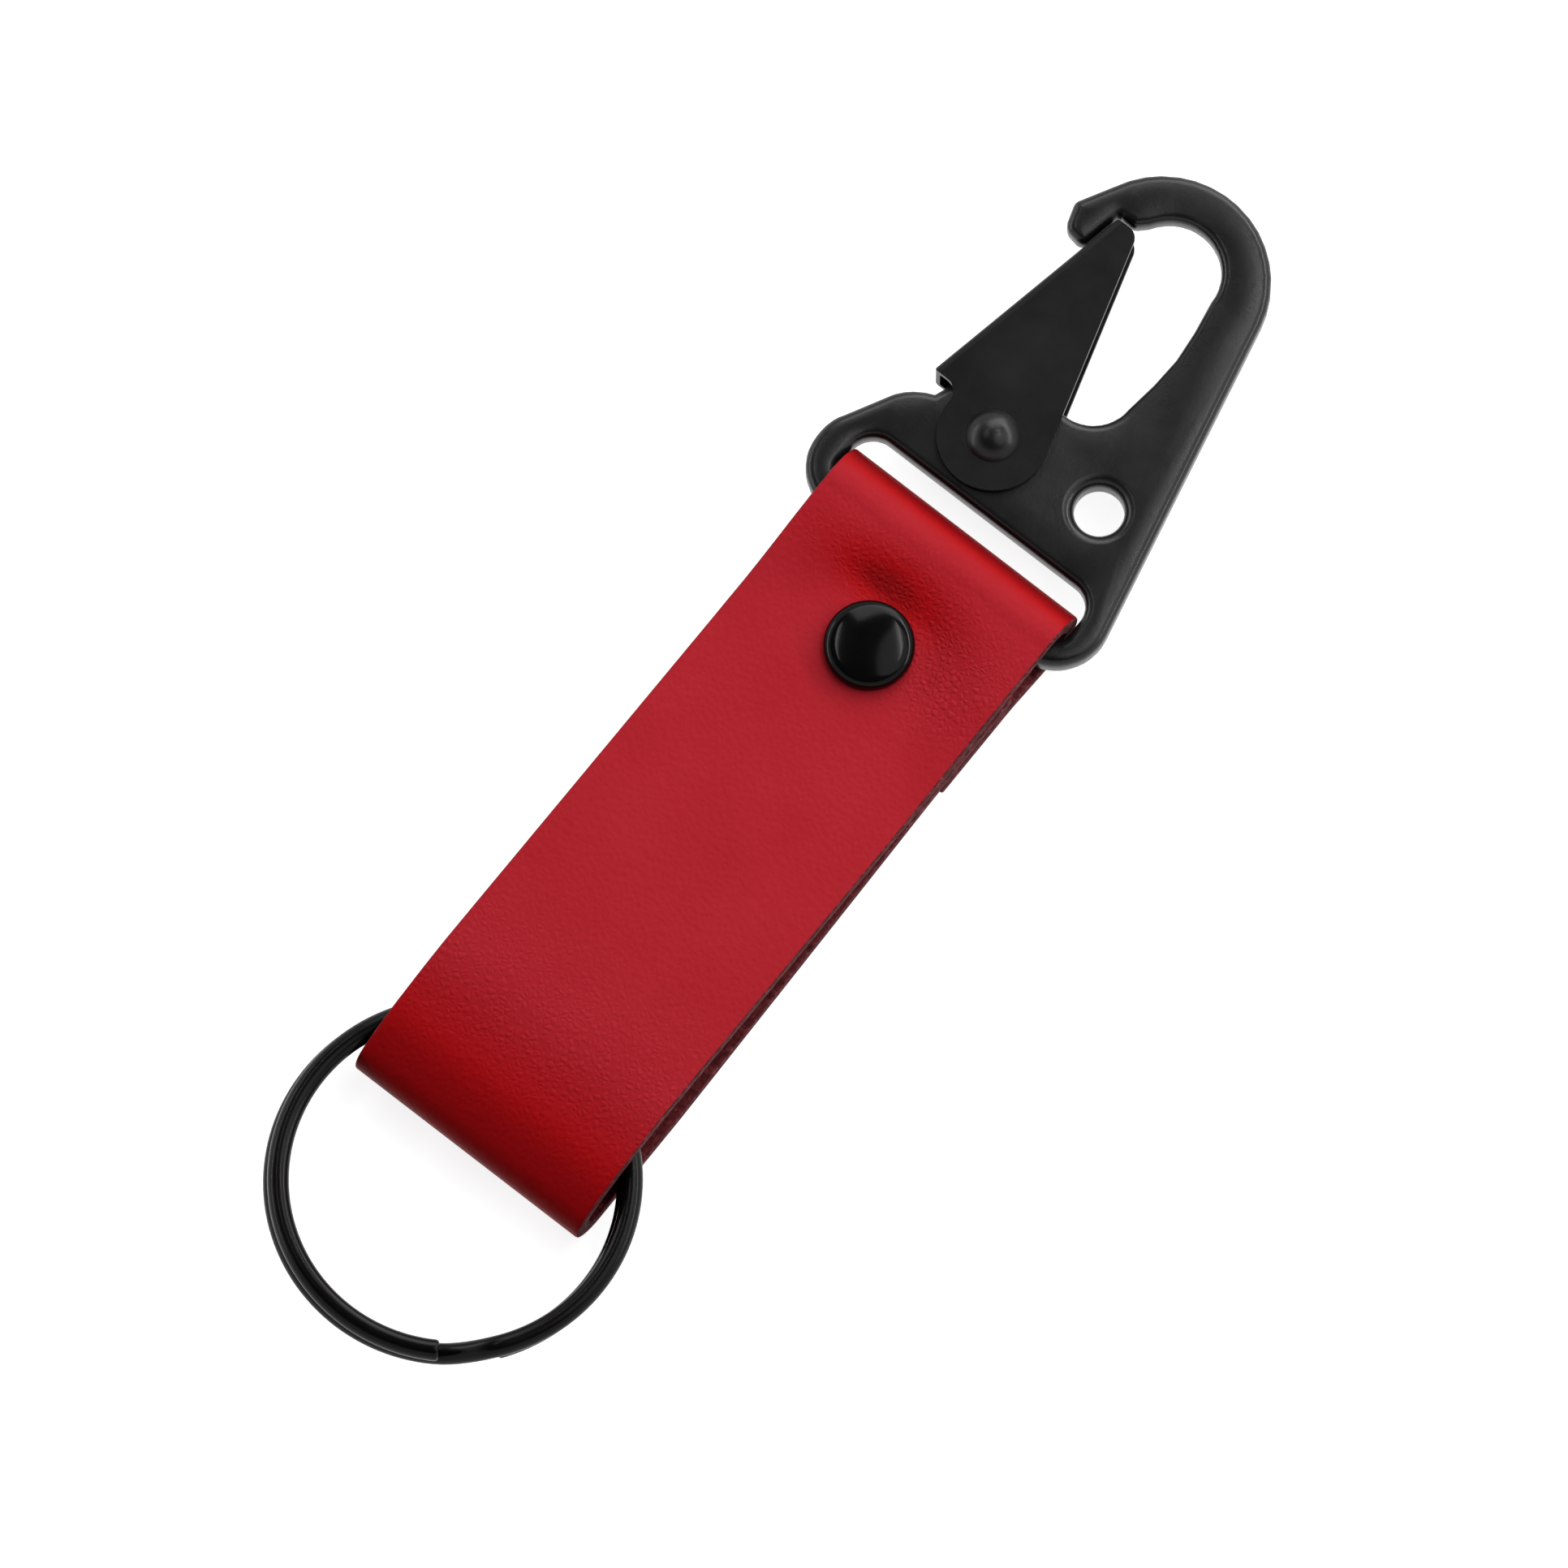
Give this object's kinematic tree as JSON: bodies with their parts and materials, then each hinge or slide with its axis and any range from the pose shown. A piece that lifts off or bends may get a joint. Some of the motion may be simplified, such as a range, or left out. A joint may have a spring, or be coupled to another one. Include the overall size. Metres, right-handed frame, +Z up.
{
  "type": "leather key fob",
  "caption": "Folded leather strap key fob with a riveted top loop, a flat snap hook with a sprung gate, and a split ring.",
  "frame": {"origin": "centre of the bottom of the bounding box, on the surface that the fob lies on", "axes": "+Y along the strap towards the snap hook, +Z up through the rivet's front cap, +X to the right seen from the front with the hook at the top"},
  "size_m": [0.0336, 0.129, 0.0094],
  "materials": {
    "strap_leather": "semi-matt pigmented leather with a fine grain, dark cut edges",
    "rivet_black": "gloss black lacquered steel",
    "rivet_steel": "plain steel, inside the rivet",
    "hook_black": "satin black powder coat on cast zinc",
    "gate_black": "flat black coat on folded steel sheet",
    "pivot_black": "semi-gloss black steel",
    "spring_steel": "plain spring wire",
    "ring_black": "gloss black plated steel wire"
  },
  "bodies": {
    "strap": {"leather_strap": "strap_leather", "rivet_front_cap": "rivet_black", "rivet_socket": "rivet_steel", "rivet_post": "rivet_steel", "rivet_rear_cap": "rivet_black"},
    "hook": {"hook_frame": "hook_black", "gate_pivot": "pivot_black"},
    "gate": {"hook_gate": "gate_black", "gate_spring": "spring_steel"},
    "ring": {"split_ring": "ring_black"}
  },
  "joints": [
    {"name": "hook_swing", "type": "hinge", "parent": "strap", "child": "hook", "pos_m": [-0.0009, 0.02177, 0.0047], "axis": [1, 0, 0], "range_deg": [-120, 120]},
    {"name": "gate_open", "type": "hinge", "parent": "hook", "child": "gate", "pos_m": [-0.00435, 0.03412, 0.0047], "axis": [0, 0, -1], "range_deg": [0, 24], "stiffness_Nm_per_rad": 0.03, "springref_deg": -28.65},
    {"name": "ring_turn", "type": "hinge", "parent": "strap", "child": "ring", "pos_m": [0, -0.04792, 0.00411], "axis": [0, 0, 1], "continuous": true}
  ]
}
